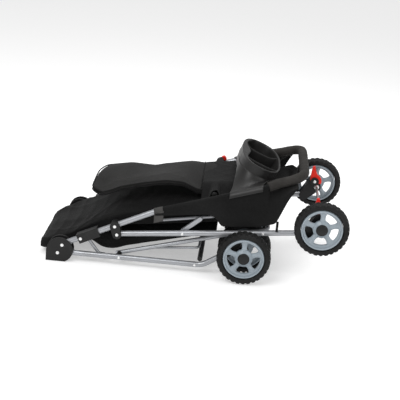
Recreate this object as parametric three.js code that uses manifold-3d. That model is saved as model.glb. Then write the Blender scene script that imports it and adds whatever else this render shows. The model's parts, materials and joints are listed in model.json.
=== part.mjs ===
// A folded pet stroller. Millimetres, +Z up, +X towards the handle, origin on the floor at the middle
// of the folded package. The near side is -Y and is called left, the far side is +Y and is right.
import * as THREE from 'three';
import { mergeVertices } from 'three/addons/utils/BufferGeometryUtils.js';
import Module from 'manifold-3d';

const wasm = await Module();
wasm.setup();

// ---------------------------------------------------------------- driving dimensions
const gap = 0.3;                 // air between pieces that touch
const pinPlay = 0.4;             // radial air round a pivot pin
const frameTube = 16;            // outer diameter of legs and push tubes
const linkTube = 12;             // outer diameter of the lower basket links
const railTube = 9;              // outer diameter of the cabin floor rails and latch bars
const hoopWire = 7;              // diameter of the basket hoop
const crossTube = 14;            // outer diameter of the front cross tube
const legY = 168;                // half distance between the two leg planes
const innerY = legY - 15.5;      // half distance between the basket links
const railY = legY - 22.5;       // half distance between the cabin floor rails
const pinDiameter = 6;           // pivot pins
const plateWidth = 26;           // width of hinge housings and brackets across the tubes

const hingeX = -366, hingeZ = 49;          // main fold pivot
const pushAngle = 25.6;                    // lower push tube above the floor, degrees
const pushBendX = -118;                    // where the push tube bends
const gripAngle = 18.2;                    // upper push tube above the floor, degrees
const handleEndX = 288;                    // middle of the grip's cross bar
const handleHalf = legY - 20;                    // half width of the grip at its end
const handleBend = 52;                     // bend radius of the grip's corners
const narrowStartX = 176, narrowEndX = 222;  // where the tubes lean in towards the grip
const gripTube = 27;                       // foam outer diameter
const gripStartX = 189;                    // where the foam starts on each tube

const frontLegZ = 25;                      // front leg height above the floor
const frontLegStart = -384;
const kneeX = 28;                          // where the front leg bends up to its caster
const casterTilt = 33;                     // swivel axis above the floor, degrees
const kneeRadius = 60;

const rearPivotX = -214, rearPivotZ = 95;  // rear leg's upper pivot
const rearSlope = 6;                       // rear leg above the floor, degrees
const rearLegLength = 540;

const linkPivotX = -206, linkPivotZ = 33;  // lower link's pivot on the front leg
const linkSlope = 15.8;
const linkLength = 354;
const linkTailX = 202, linkTailZ = 139;    // cross part of the links, behind the front wheels

const wheelRadius = 75;
const wheelScale = wheelRadius / 75;       // the rim's windows and the tyre's shoulders follow the wheel
const wheelWidth = 33;
const rimRadius = 57 * wheelScale;
const wheelY = legY + 40;                        // outer wheels' middle plane
const twinPitch = 83;                      // between the two wheels of a caster
const frontAxleX = 142, frontAxleZ = wheelRadius;
const rearAxleX = 345, rearAxleZ = 180;
const axleDiameter = 8;

const cabinHalf = legY - 28;                     // half width of the soft cabin
const panelIn = legY + frameTube / 2 + 1.6;  // side panel's inner face from the middle
const panelOut = panelIn + 2.2;
const canopyHalf = legY - 50;
const trayHalf = legY - 41, trayLength = 120, trayWall = 3;
const trayTilt = 22;                       // mouth leans towards the handle, degrees
const trayX = 167, trayZ = 311;            // middle of the mouth
const trayDepth = 48;
const trayRoundness = 2.6;                  // 2 is an ellipse, more is squarer
const dividerY = trayHalf - 65;             // walls between the tray's wells
const brakePivotX = 336.5, brakePivotZ = 201;
const brakeHub = 20.5;                      // brake lever's radius round its pivot

// ---------------------------------------------------------------- finishes
const finish = (color, roughness, metalness) => new THREE.MeshStandardMaterial(
  { color, roughness, metalness });
const silver = finish(0xa9adb1, 0.38, 0.55);
const steel = finish(0xc8cacc, 0.28, 0.9);
const blackPlastic = finish(0x17181a, 0.55, 0);
const redPlastic = finish(0xd8281c, 0.42, 0);
const greyPlastic = finish(0x9fb0ba, 0.42, 0.15);
const rubber = finish(0x151515, 0.85, 0);
const foam = finish(0x2b2a29, 0.95, 0);
const fabric = finish(0x1d1d1e, 0.92, 0);

// ---------------------------------------------------------------- helpers
const rad = THREE.MathUtils.degToRad;
const stroller = new THREE.Group();
const sides = [['left', -1], ['right', 1]];

function add(name, geometry, material) {
  const mesh = new THREE.Mesh(geometry, material);
  mesh.name = name;
  stroller.add(mesh);
  return mesh;
}

// A geometry as a manifold solid, and a manifold solid as a geometry.
function solid(geometry) {
  const bare = geometry.clone();
  bare.deleteAttribute('normal');
  bare.deleteAttribute('uv');
  const merged = mergeVertices(bare, 1e-4);
  return new wasm.Manifold(new wasm.Mesh({
    numProp: 3,
    vertProperties: new Float32Array(merged.attributes.position.array),
    triVerts: new Uint32Array(merged.index.array),
  }));
}

function shell(manifold) {
  const mesh = manifold.getMesh();
  const geometry = new THREE.BufferGeometry();
  geometry.setAttribute('position', new THREE.BufferAttribute(new Float32Array(mesh.vertProperties), 3));
  geometry.setIndex(new THREE.BufferAttribute(new Uint32Array(mesh.triVerts), 1));
  geometry.computeVertexNormals();
  return geometry;
}

function minus(body, ...tools) {
  return shell(tools.reduce((rest, tool) => rest.subtract(solid(tool)), solid(body)));
}

function plus(body, ...others) {
  return shell(others.reduce((sum, other) => sum.add(solid(other)), solid(body)));
}

// A polyline whose inner corners are rounded by arcs, sampled only where it turns.
class BentPath extends THREE.Curve {
  constructor(corners, radius, turns = 4) {
    super();
    this.knots = [corners[0]];
    for (let i = 1; i < corners.length - 1; i++) {
      const into = corners[i].clone().sub(corners[i - 1]).normalize();
      const out = corners[i + 1].clone().sub(corners[i]).normalize();
      const reach = radius * Math.tan(into.angleTo(out) / 2);
      const start = corners[i].clone().addScaledVector(into, -reach);
      const end = corners[i].clone().addScaledVector(out, reach);
      const arc = new THREE.QuadraticBezierCurve3(start, corners[i], end);
      this.knots.push(...arc.getPoints(turns));
    }
    this.knots.push(corners.at(-1));
  }
  getPoint(t) {
    const place = t * (this.knots.length - 1);
    const i = Math.min(Math.floor(place), this.knots.length - 2);
    return this.knots[i].clone().lerp(this.knots[i + 1], place - i);
  }
  getPointAt(t) { return this.getPoint(t); }
  getTangentAt(t) {
    const i = Math.round(t * (this.knots.length - 1));
    const before = this.knots[Math.max(i - 1, 0)];
    const after = this.knots[Math.min(i + 1, this.knots.length - 1)];
    return after.clone().sub(before).normalize();
  }
}

// A round bar along a bent path.
function bar(corners, diameter, radius = 0, facets = 10) {
  const path = new BentPath(corners, radius);
  const circle = new THREE.EllipseCurve(0, 0, diameter / 2, diameter / 2);
  const section = new THREE.Shape(circle.getPoints(facets));
  return new THREE.ExtrudeGeometry(section, { extrudePath: path, steps: path.knots.length - 1 });
}

const at = (x, y, z) => new THREE.Vector3(x, y, z);
const along = (start, degrees, distance) => at(
  start.x + distance * Math.cos(rad(degrees)), start.y, start.z + distance * Math.sin(rad(degrees)));

// A pin or disc across the stroller, from one Y to another.
function crossPin(x, z, low, high, diameter, facets = 12) {
  return new THREE.CylinderGeometry(diameter / 2, diameter / 2, high - low, facets)
    .translate(x, (low + high) / 2, z);
}

// A side-view outline given as [x, z] points or a Shape, made into a plate from one Y to another.
function plate(outline, low, high) {
  const shape = outline instanceof THREE.Shape
    ? outline : new THREE.Shape(outline.map(([x, z]) => new THREE.Vector2(x, z)));
  return new THREE.ExtrudeGeometry(shape, { depth: high - low, bevelEnabled: false, curveSegments: 8 })
    .rotateX(Math.PI / 2).translate(0, high, 0);
}

// The outline round two circles, as a link or a lug.
function lugOutline(x1, z1, r1, x2, z2, r2) {
  const tilt = Math.atan2(z2 - z1, x2 - x1);
  const lean = Math.acos((r1 - r2) / Math.hypot(x2 - x1, z2 - z1));
  const shape = new THREE.Shape();
  shape.absarc(x1, z1, r1, tilt + lean, tilt - lean + 2 * Math.PI, false);
  shape.absarc(x2, z2, r2, tilt - lean, tilt + lean, false);
  return shape;
}

// A box of the given size, centred, turned up from the floor by an angle in side view.
const tiltedBox = (length, width, height, degrees, x, y, z) => new THREE.BoxGeometry(length, width, height)
  .rotateY(-rad(degrees)).translate(x, y, z);

const span = (side, inner, outer) => (side < 0 ? [-outer, -inner] : [inner, outer]);

// ---------------------------------------------------------------- shared places
const hinge = at(hingeX, 0, hingeZ);
const pushLength = (pushBendX - hingeX) / Math.cos(rad(pushAngle));
const pushBend = along(hinge, pushAngle, pushLength);
const upperZ = (x) => pushBend.z + (x - pushBend.x) * Math.tan(rad(gripAngle));
const knee = at(kneeX, 0, frontLegZ);
const rearPivot = at(rearPivotX, 0, rearPivotZ);
const rearEnd = along(rearPivot, rearSlope, rearLegLength);
const linkPivot = at(linkPivotX, 0, linkPivotZ);
const linkEnd = along(linkPivot, linkSlope, linkLength);
const onSide = (point, y) => at(point.x, y, point.z);

// ---------------------------------------------------------------- front frame
const plateHalf = plateWidth / 2;
const slotHalf = frameTube / 2 + 0.7;
const socketStart = 26, socketEnd = 58, socketDiameter = 25, stemEnd = 84, stemDiameter = 9;
const housingX = hingeX - 6, housingZ = 34, housingRadius = 37;

function frontLeg(y) {
  const foot = onSide(knee, y);
  const corners = [at(frontLegStart, y, frontLegZ), foot, along(foot, casterTilt, 92)];
  const tube = bar(corners, frameTube, kneeRadius);
  return minus(tube, crossPin(linkPivotX, frontLegZ, y - 20, y + 20, pinDiameter + 2 * gap));
}

function hingeHousing(y) {
  const drop = Math.acos(housingZ / housingRadius);
  const outline = new THREE.Shape();
  const back = housingX - housingRadius - 2;
  outline.moveTo(back, 0);
  outline.lineTo(housingX + housingRadius * Math.sin(drop), 0);
  outline.absarc(housingX, housingZ, housingRadius, -Math.PI / 2 + drop, Math.PI - 0.05, false);
  outline.lineTo(back, housingZ + 2);
  const slotFloor = frontLegZ + frameTube / 2 + 3;
  return minus(plate(outline, y - plateHalf, y + plateHalf),
    new THREE.BoxGeometry(120, 2 * slotHalf, 60).translate(hingeX, y, slotFloor + 30),
    bar([at(frontLegStart - 1, y, frontLegZ), at(-300, y, frontLegZ)], frameTube + 2 * gap),
    crossPin(hingeX, hingeZ, y - plateWidth, y + plateWidth, pinDiameter + 2 * gap));
}

// The socket is bored for the leg and carries the stem that the caster swivels on.
function casterSocket(y) {
  const foot = onSide(knee, y);
  const [from, to, tip] = [socketStart, socketEnd, stemEnd].map((s) => along(foot, casterTilt, s + 37));
  const cup = bar([from, to], socketDiameter, 0, 12);
  const bore = bar([along(foot, casterTilt, 50), along(foot, casterTilt, 92 + gap)], frameTube + 4 * gap);
  const stem = bar([along(foot, casterTilt, 93.5), tip], stemDiameter);
  return shell(solid(cup).subtract(solid(bore)).add(solid(stem)));
}

for (const [side, s] of sides) {
  add(`front_leg_${side}`, frontLeg(s * legY), silver);
  add(`hinge_housing_${side}`, hingeHousing(s * legY), blackPlastic);
  add(`hinge_pin_${side}`,
    crossPin(hingeX, hingeZ, s * legY - plateHalf - 1, s * legY + plateHalf + 1, pinDiameter), steel);
  add(`caster_socket_${side}`, casterSocket(s * legY), blackPlastic);
}
const crossZ = frontLegZ + frameTube / 2 + crossTube / 2 + 2.4;
add('front_cross_tube', crossPin(kneeX - 7, crossZ, -legY, legY, crossTube), blackPlastic);

// ---------------------------------------------------------------- lower basket link
const spacerDiameter = 14;
const linkHoles = [];
for (const [side, s] of sides) {
  const y = s * innerY;
  linkHoles.push(crossPin(linkPivotX, linkPivotZ, y - 20, y + 20, pinDiameter + 2 * pinPlay));
  const [inner, outer] = span(s, innerY + linkTube / 2 + gap, legY - frameTube / 2 - gap);
  const spacer = crossPin(linkPivotX, linkPivotZ, inner, outer, spacerDiameter);
  const pin = crossPin(linkPivotX, linkPivotZ, ...span(s, innerY - linkTube / 2, innerY + 7), pinDiameter);
  add(`link_pin_${side}`, plus(spacer, pin), blackPlastic);
}
const linkStart = along(linkPivot, linkSlope, -11);
const linkTail = at(linkTailX, 0, linkTailZ);
const linkCorners = [...[linkStart, linkEnd, linkTail].map((point) => onSide(point, -innerY)),
  ...[linkTail, linkEnd, linkStart].map((point) => onSide(point, innerY))];
add('basket_link', minus(bar(linkCorners, linkTube, 26), ...linkHoles), silver);

// The hoop hangs under the links and closes the basket's front.
const hoopY = innerY - linkTube / 2 - hoopWire / 2 - gap;
const linkZ = (x) => linkPivotZ + (x - linkPivotX) * Math.tan(rad(linkSlope));
const hoopStart = at(-146, 0, linkZ(-146)), hoopEnd = at(15, 0, 66);
add('basket_hoop', bar([onSide(hoopStart, -hoopY), onSide(hoopEnd, -hoopY), onSide(hoopEnd, hoopY),
  onSide(hoopStart, hoopY)], hoopWire, 14, 8), silver);

// The basket lies slack between the links, its underside following them.
const basketHalf = innerY - linkTube / 2 - 1.4;
const rearZ = (x) => rearPivotZ + (x - rearPivotX) * Math.tan(rad(rearSlope));
const basketEndX = 60, basketBellyX = -246;
const basketOutline = [[-292, 52], [-272, 32], [basketBellyX, 24], [-222, 26], [-190, linkZ(-190) + 4],
  [basketEndX, linkZ(basketEndX) + 4], [basketEndX, rearZ(basketEndX) - 2], [-200, rearZ(-200) - 12],
  [-276, 74]];
add('storage_basket', plate(basketOutline, -basketHalf, basketHalf), fabric);

// ---------------------------------------------------------------- push frame
// A point of the upper push tube's middle line, with the lean towards the grip.
function onUpper(x, s) {
  const lean = THREE.MathUtils.clamp((x - narrowStartX) / (narrowEndX - narrowStartX), 0, 1);
  return at(x, s * THREE.MathUtils.lerp(legY, handleHalf, lean), upperZ(x));
}

// The handle's loop from one side to the other, starting at the given x on each side.
function handleLoop(startX) {
  const half = (s) => [startX, narrowEndX, handleEndX].map((x) => onUpper(x, s));
  return [...half(-1), ...half(1).reverse()];
}

function pushTube() {
  const half = (s) => [onSide(hinge, s * legY), onSide(pushBend, s * legY)];
  const corners = [...half(-1), ...handleLoop(narrowStartX), ...half(1).reverse()];
  let tube = solid(bar(corners, frameTube, handleBend));
  for (const [, s] of sides) {
    const across = (reach, diameter) => solid(
      crossPin(hingeX, hingeZ, s * legY - reach, s * legY + reach, diameter));
    tube = tube.add(across(frameTube / 2 - 0.5, frameTube - 1));
    tube = tube.subtract(across(20, pinDiameter + 2 * pinPlay));
  }
  return shell(tube);
}
add('push_tube', pushTube(), silver);
add('foam_grip', minus(bar(handleLoop(gripStartX), gripTube, handleBend),
  bar(handleLoop(gripStartX - 4), frameTube + 2.4, handleBend)), foam);

const sleeveStart = 48.5, sleeveLength = 63, sleeveHeight = 27;
const latchTube = 9, latchX = -306, latchZ = 76;

const onPush = (distance, y) => along(onSide(hinge, y), pushAngle, distance);
for (const [side, s] of sides) {
  const y = s * legY;
  const tubeBore = bar([onPush(10, y), onPush(250, y)], frameTube + 2 * gap);
  const sleeve = onPush(sleeveStart + sleeveLength / 2, y);
  const latchSeat = span(s, legY - plateWidth, legY - frameTube / 2);
  add(`lock_sleeve_${side}`, minus(
    tiltedBox(sleeveLength, plateWidth - 2, sleeveHeight, pushAngle, sleeve.x, y, sleeve.z), tubeBore,
    crossPin(latchX, latchZ, ...latchSeat, pinDiameter + 2 * pinPlay)), blackPlastic);

  // The pivot bracket holds the push tube in a bore and the rear leg's end between two cheeks.
  const seat = onPush(161, y);
  const slot = onPush(163, y);
  const down = pushAngle - 90;
  const slotMiddle = along(slot, down, 10.5 + 25);
  add(`pivot_bracket_${side}`, minus(
    plate(lugOutline(seat.x, seat.z, 14, rearPivotX, rearPivotZ, 12.5), y - plateHalf, y + plateHalf),
    tubeBore,
    tiltedBox(90, 2 * slotHalf, 50, pushAngle, slotMiddle.x, y, slotMiddle.z),
    crossPin(rearPivotX, rearPivotZ, y - plateWidth, y + plateWidth, pinDiameter + 2 * gap)), blackPlastic);
  add(`rear_pivot_pin_${side}`,
    crossPin(rearPivotX, rearPivotZ, y - plateHalf - 1, y + plateHalf + 1, pinDiameter), steel);

  // The storage latch bar drops past the front leg and keeps the frame folded.
  const latchY = legY - plateHalf - latchTube / 2 - 0.6;
  const hook = [[latchX, latchZ], [-290, 54], [-266, 24], [-248, 22]].map(([x, z]) => at(x, s * latchY, z));
  const latchPin = span(s, latchY - latchTube / 2, legY - frameTube / 2 - 0.5);
  add(`storage_latch_${side}`, plus(bar(hook, latchTube, 10, 8),
    crossPin(latchX, latchZ, ...latchPin, pinDiameter)), silver);

}

// One red lever, on top of the far push tube, releases the fold lock.
const leverX = 56, leverHalf = 10;
const leverTop = (x) => upperZ(x) + frameTube / 2 + 0.6;
add('release_lever', plate([[leverX - leverHalf, leverTop(leverX - leverHalf)],
  [leverX + leverHalf, leverTop(leverX + leverHalf)], [leverX + 9, leverTop(leverX) + 9],
  [leverX + 3, leverTop(leverX) + 15], [leverX - 4, leverTop(leverX) + 13],
  [leverX - leverHalf, leverTop(leverX) + 3]], legY - 6, legY + 6), redPlastic);

// ---------------------------------------------------------------- cup tray
// An oval tub with three wells, its mouth leaning towards the handle, on two wings over the push tubes.
function oval(halfWidth, halfLength, depth, bottom) {
  const power = 2 / trayRoundness;
  const round = (value) => Math.sign(value) * Math.abs(value) ** power;
  const outline = Array.from({ length: 36 }, (_, i) => 2 * Math.PI * i / 36)
    .map((turn) => new THREE.Vector2(halfLength * round(Math.cos(turn)), halfWidth * round(Math.sin(turn))));
  return new THREE.ExtrudeGeometry(new THREE.Shape(outline), { depth, bevelEnabled: false })
    .translate(0, 0, bottom);
}

function cupTray() {
  const place = (g) => g.rotateY(rad(trayTilt)).translate(trayX, 0, trayZ);
  const tub = place(oval(trayHalf, trayLength / 2, trayDepth, -trayDepth));
  const well = trayHalf - trayWall;
  const hollow = () => place(oval(well, trayLength / 2 - trayWall, trayDepth, trayWall - trayDepth));
  const cut = (low, high) => solid(hollow())
    .intersect(solid(place(new THREE.BoxGeometry(trayLength, high - low, 3 * trayDepth)
      .translate(0, (low + high) / 2, 0))));
  const half = trayWall / 2;
  let tray = solid(tub)
    .subtract(cut(-well, -dividerY - half))
    .subtract(cut(-dividerY + half, dividerY - half))
    .subtract(cut(dividerY + half, well));
  const wingX = 132, wingLength = 84, lift = frameTube / 2 + 1.2, thick = 3.5;
  const reach = panelOut + 1.2 + thick;
  for (const [, s] of sides) {
    const wing = (low, high, drop, height) => {
      const [y0, y1] = span(s, low, high);
      const z = upperZ(wingX) + drop;
      return solid(tiltedBox(wingLength, y1 - y0, height, gripAngle, wingX, (y0 + y1) / 2, z));
    };
    tray = tray.add(wing(96, reach, lift + thick / 2, thick));
    tray = tray.add(wing(reach - thick, reach, lift + thick - 16, 32));
    tray = tray.add(wing(96, 100, lift + 14, 30));
  }
  return shell(tray);
}
add('cup_tray', cupTray(), blackPlastic);

// ---------------------------------------------------------------- cabin and canopy
// The cabin's underside is notched for the rail's cross part.
const strutX = -33, railX = 13, railZ = 157;
const railCrossX = 56, railCrossZ = 165;
const railBend = 16;
const notchLow = railCrossX - railBend - railTube, notchHigh = railCrossX + railTube / 2 + 1.5;
const cabinOutline = [[-420, 26], [-408, 21], [-384, 24], [-300, 86], [-200, rearZ(-200) + 2],
  [60, rearZ(60) + 14], [180, 166], [262, 182], [284, 205], [272, 240], [214, 240], [86, 220], [60, 206],
  [-100, 184], [-240, 164], [-290, 130], [-331, 92], [-370, 66], [-412, 46]];
const notchTop = railCrossZ + railTube / 2 + 1.5;
add('cabin', minus(plate(cabinOutline, -cabinHalf, cabinHalf),
  new THREE.BoxGeometry(notchHigh - notchLow, 3 * cabinHalf, 60)
    .translate((notchLow + notchHigh) / 2, 0, notchTop - 30)), fabric);
const panelOutline = [[-112, upperZ(-112) - 14], [30, upperZ(30) - 30], [84, 168], [120, 156], [236, 172],
  [262, 188], [280, 232], [282, upperZ(282) - 22], [176, upperZ(176) - 2], [-112, upperZ(-112) + 2]];
for (const [side, s] of sides) {
  add(`side_panel_${side}`, plate(panelOutline, ...span(s, panelIn, panelOut)), fabric);
}
const canopyPivotX = 48, canopyPivotZ = 232;
const canopyOutline = [[-288, 178], [-276, 172], [-200, 188], [-60, 200], [36, 212], [52, 226], [50, 244],
  [30, 250], [-60, 244], [-180, 232], [-240, 222], [-276, 202]];
add('canopy', plate(canopyOutline, -canopyHalf, canopyHalf), fabric);
for (const [side, s] of sides) {
  const [inner, outer] = span(s, canopyHalf + 0.5, legY - frameTube / 2 - 0.5);
  add(`canopy_pivot_${side}`, crossPin(canopyPivotX - 2, canopyPivotZ, inner, outer, 16), blackPlastic);
}

// ---------------------------------------------------------------- rear frame
const bracketOut = wheelY - wheelWidth / 2 - 2.5;
const leverWidth = 9, leverPlay = 0.8, capWidth = 3.5;
for (const [side, s] of sides) {
  const y = s * legY;
  const tube = bar([onSide(rearPivot, y), onSide(rearEnd, y)], frameTube);
  const eye = crossPin(rearPivotX, rearPivotZ, y - 7.5, y + 7.5, frameTube - 1);
  add(`rear_leg_${side}`, shell(solid(tube).add(solid(eye))
    .subtract(solid(crossPin(rearPivotX, rearPivotZ, y - 20, y + 20, pinDiameter + 2 * pinPlay)))), silver);

  // The upright axle bracket clasps the leg's end. It carries the axle and, under a cap, the brake lever.
  const clasp = along(onSide(rearPivot, y), rearSlope, rearLegLength - 14);
  const [low, high] = span(s, legY - plateHalf, bracketOut);
  const round = (x, z, inner, outer, radius) => solid(
    crossPin(x, z, ...span(s, inner, outer), 2 * radius, 20));
  const [cheek, far] = [legY - plateHalf, bracketOut];
  const upright = round(clasp.x, clasp.z, cheek, far, 14)
    .add(round(brakePivotX, brakePivotZ, cheek, far, 13))
    .add(round(rearAxleX, rearAxleZ, cheek, far, 13)).hull();
  const capIn = cheek - leverWidth - 2 * leverPlay - capWidth;
  const cap = round(brakePivotX, brakePivotZ, capIn, capIn + capWidth, 12.7);
  const pivot = round(brakePivotX, brakePivotZ, capIn, cheek + 1, pinDiameter / 2);
  const legCorners = [onSide(rearPivot, y), along(onSide(rearEnd, y), rearSlope, gap)];
  const legBore = bar(legCorners, frameTube + 2 * gap);
  const axleBore = crossPin(rearAxleX, rearAxleZ, low - 5, high + 5, axleDiameter + 2 * gap);
  add(`axle_bracket_${side}`, shell(upright.add(cap).add(pivot)
    .subtract(solid(legBore)).subtract(solid(axleBore))), blackPlastic);

  // The lever is a hub with a spur for the foot and a toe that drops over the axle's side.
  const lever = new THREE.Shape();
  lever.moveTo(brakePivotX - 9.5, brakePivotZ + 45);
  lever.lineTo(brakePivotX - 12, brakePivotZ + 31);
  lever.lineTo(brakePivotX - 14, brakePivotZ + 2);
  lever.lineTo(brakePivotX - 6, brakePivotZ - 8);
  lever.lineTo(brakePivotX + 6, brakePivotZ - 8);
  lever.lineTo(brakePivotX + 14, brakePivotZ - 6.5);
  lever.lineTo(brakePivotX + 19.3, brakePivotZ - 7);
  lever.absarc(brakePivotX, brakePivotZ, brakeHub, -0.3, 1.2, false);
  lever.lineTo(brakePivotX + 1.7, brakePivotZ + 30);
  lever.lineTo(brakePivotX - 2.5, brakePivotZ + 47);
  const [leverLow, leverHigh] = span(s, cheek - leverPlay - leverWidth, cheek - leverPlay);
  add(`brake_lever_${side}`, minus(plate(lever, leverLow, leverHigh),
    crossPin(brakePivotX, brakePivotZ, leverLow - 5, leverHigh + 5, pinDiameter + 2 * pinPlay)), redPlastic);
}
const axleHalf = wheelY + wheelWidth / 2 - 4;
add('rear_axle', crossPin(rearAxleX, rearAxleZ, -axleHalf, axleHalf, axleDiameter), steel);

// The floor rails carry the cabin floor, on struts from the rear legs.
for (const [side, s] of sides) {
  const [low, high] = span(s, railY + railTube / 2 + gap, legY - frameTube / 2 - gap);
  const strut = lugOutline(strutX, rearZ(strutX) + 3, 6, railX, railZ, 6);
  add(`floor_strut_${side}`, plate(strut, low, high), silver);
}
const railCorners = [at(-112, -railY, 136), at(railCrossX, -railY, railCrossZ),
  at(railCrossX, railY, railCrossZ), at(-112, railY, 136)];
add('floor_rail', bar(railCorners, railTube, railBend, 8), silver);

// ---------------------------------------------------------------- wheels and casters
const wheelFacets = 24;

function tyre(x, y, z) {
  const r = rimRadius + gap, w = wheelWidth / 2;
  const bulge = r + 8 * wheelScale;
  const shoulder = wheelRadius - 4 * wheelScale;
  const profile = [[r, -w + 4], [bulge, -w], [shoulder, -w + 3], [wheelRadius, -w + 9],
    [wheelRadius, w - 9], [shoulder, w - 3], [bulge, w], [r, w - 4]];
  profile.push(profile[0]);
  return new THREE.LatheGeometry(profile.map(([a, b]) => new THREE.Vector2(a, b)), wheelFacets)
    .translate(x, y, z);
}

// A five-window disc wheel with a deep flange and a bored hub.
function rim(x, y, z) {
  const w = wheelWidth / 2 - 4.5;
  const bore = axleDiameter / 2 + gap, hub = 17 * wheelScale;
  const flange = rimRadius - 8 * wheelScale;
  const profile = [[bore, -w - 3], [hub, -w - 3], [hub, -4], [flange, -4], [flange, -w], [rimRadius, -w],
    [rimRadius, w], [flange, w], [flange, 5], [hub, 5], [hub, w + 3], [bore, w + 3]];
  profile.push(profile[0]);
  const disc = new THREE.LatheGeometry(profile.map(([a, b]) => new THREE.Vector2(a, b)), wheelFacets);
  const windows = Array.from({ length: 5 }, (_, i) => {
    const outline = new THREE.Shape();
    outline.moveTo(26, 0);
    outline.bezierCurveTo(26, 12, 38, 13, 44, 16);
    outline.quadraticCurveTo(49, 0, 44, -16);
    outline.bezierCurveTo(38, -13, 26, -12, 26, 0);
    return new THREE.ExtrudeGeometry(outline, { depth: 40, bevelEnabled: false, curveSegments: 2 })
      .scale(wheelScale, wheelScale, 1).translate(0, 0, -20)
      .rotateX(Math.PI / 2).rotateY(rad(90 + 36 + 72 * i));
  });
  return minus(disc, ...windows).translate(x, y, z);
}

function addWheel(name, x, y, z) {
  add(`${name}_tyre`, tyre(x, y, z), rubber);
  add(`${name}_rim`, rim(x, y, z), greyPlastic);
}

const twinAxleHalf = twinPitch / 2 + wheelWidth / 2 - 4;
for (const [side, s] of sides) {
  addWheel(`rear_wheel_${side}`, rearAxleX, s * wheelY, rearAxleZ);
  addWheel(`front_wheel_${side}_outer`, frontAxleX, s * wheelY, frontAxleZ);
  addWheel(`front_wheel_${side}_inner`, frontAxleX, s * (wheelY - twinPitch), frontAxleZ);

  const y = s * (wheelY - twinPitch / 2);
  const foot = onSide(knee, s * legY);
  const [from, to] = [socketEnd + 37 + 1, stemEnd + 37 + 5].map((d) => along(foot, casterTilt, d));
  const head = lugOutline((from.x + to.x) / 2 - 3, (from.z + to.z) / 2 - 6, 8, frontAxleX, frontAxleZ, 13);
  const arm = plate(head, y - 16, y + 16);
  const stemBore = bar([along(from, casterTilt, -5), along(foot, casterTilt, stemEnd + 37 + gap)],
    stemDiameter + 2 * pinPlay);
  const axleBore = crossPin(frontAxleX, frontAxleZ, y - 20, y + 20, axleDiameter + 2 * gap);
  add(`caster_fork_${side}`, shell(solid(arm).add(solid(bar([from, to], socketDiameter, 0, 12)))
    .subtract(solid(stemBore)).subtract(solid(axleBore))), blackPlastic);
  add(`caster_axle_${side}`,
    crossPin(frontAxleX, frontAxleZ, y - twinAxleHalf, y + twinAxleHalf, axleDiameter), steel);
}

export default stroller;
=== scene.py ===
"""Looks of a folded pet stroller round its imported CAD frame.

Metres, +Z up, the nose towards -X, the near side is -Y.
"""
import json
import math

import bmesh
import bpy
import numpy as np
from mathutils import Matrix, Vector


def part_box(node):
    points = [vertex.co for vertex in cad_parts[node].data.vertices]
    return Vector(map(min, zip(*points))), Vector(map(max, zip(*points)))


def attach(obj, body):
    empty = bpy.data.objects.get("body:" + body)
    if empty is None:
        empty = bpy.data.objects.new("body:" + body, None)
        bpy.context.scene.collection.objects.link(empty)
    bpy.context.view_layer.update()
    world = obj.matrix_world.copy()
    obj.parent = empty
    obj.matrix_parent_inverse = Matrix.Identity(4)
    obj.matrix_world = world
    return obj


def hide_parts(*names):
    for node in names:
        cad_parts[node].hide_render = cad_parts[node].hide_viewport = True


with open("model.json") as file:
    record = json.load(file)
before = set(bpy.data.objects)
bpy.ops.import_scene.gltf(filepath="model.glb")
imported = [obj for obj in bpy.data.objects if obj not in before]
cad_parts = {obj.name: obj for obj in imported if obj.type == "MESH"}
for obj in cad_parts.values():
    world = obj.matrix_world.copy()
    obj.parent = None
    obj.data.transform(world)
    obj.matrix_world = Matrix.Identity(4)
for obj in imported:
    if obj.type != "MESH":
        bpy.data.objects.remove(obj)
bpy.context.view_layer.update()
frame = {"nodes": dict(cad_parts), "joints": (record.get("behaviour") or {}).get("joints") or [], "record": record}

SIDES = (("left", -1), ("right", 1))
joint_at = {j["name"]: np.array(j.get("pos_m", (0, 0, 0)), float) for j in frame["joints"]}


def low(node):
    return np.array(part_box(node)[0])


def high(node):
    return np.array(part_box(node)[1])


def middle(node):
    return (low(node) + high(node)) / 2


# ---------------------------------------------------------------- sizes and places
HINGE = joint_at["fold"][[0, 2]]
REAR_PIVOT = joint_at["rear_leg_pivot"][[0, 2]]
LINK_PIVOT = joint_at["basket_link_pivot"][[0, 2]]
LEG_Y = middle("front_leg_right")[1]
LINK_Y, RAIL_Y, LATCH_Y = 0.1525, 0.1455, 0.1499
TUBE = 0.016
CROSS_RADIUS, LINK_RADIUS, HOOP_RADIUS, WIRE_RADIUS = 0.007, 0.006, 0.0035, 0.0045
PIN_RADIUS, AXLE_RADIUS = 0.003, 0.004
LOW_TUBE_Z = 0.025
REAR_LENGTH, LINK_LENGTH, CASTER_LENGTH = 0.540, 0.354, 0.092
PUSH_ANGLE, GRIP_ANGLE = math.radians(25.6), math.radians(18.2)
PUSH_BEND_X = -0.118
PUSH_BEND_Z = HINGE[1] + (PUSH_BEND_X - HINGE[0]) * math.tan(PUSH_ANGLE)
LEAN_START_X, LEAN_END_X = 0.176, 0.222
HANDLE_X, HANDLE_Y, HANDLE_BEND = 0.288, 0.148, 0.052
GRIP_START_X, GRIP = 0.189, 0.027
KNEE_X, CASTER_TILT, KNEE_BEND = 0.028, math.radians(33), 0.060
REAR_SLOPE = math.radians(6)
LINK_SLOPE = math.radians(15.8)
WHEEL_RADIUS, WHEEL_WIDTH, RIM_RADIUS = 0.075, 0.033, 0.057
TRAY_AT, TRAY_TILT = np.array([0.167, 0.0, 0.311]), math.radians(22)
TRAY_HALF, TRAY_REACH, TRAY_ROUNDNESS, DIVIDER_Y = 0.127, 0.060, 2.6, 0.062
BRAKE_PIVOT = joint_at["brake_right"][[0, 2]]
REAR_AXLE = joint_at["rear_wheel_right_spin"][[0, 2]]


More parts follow.
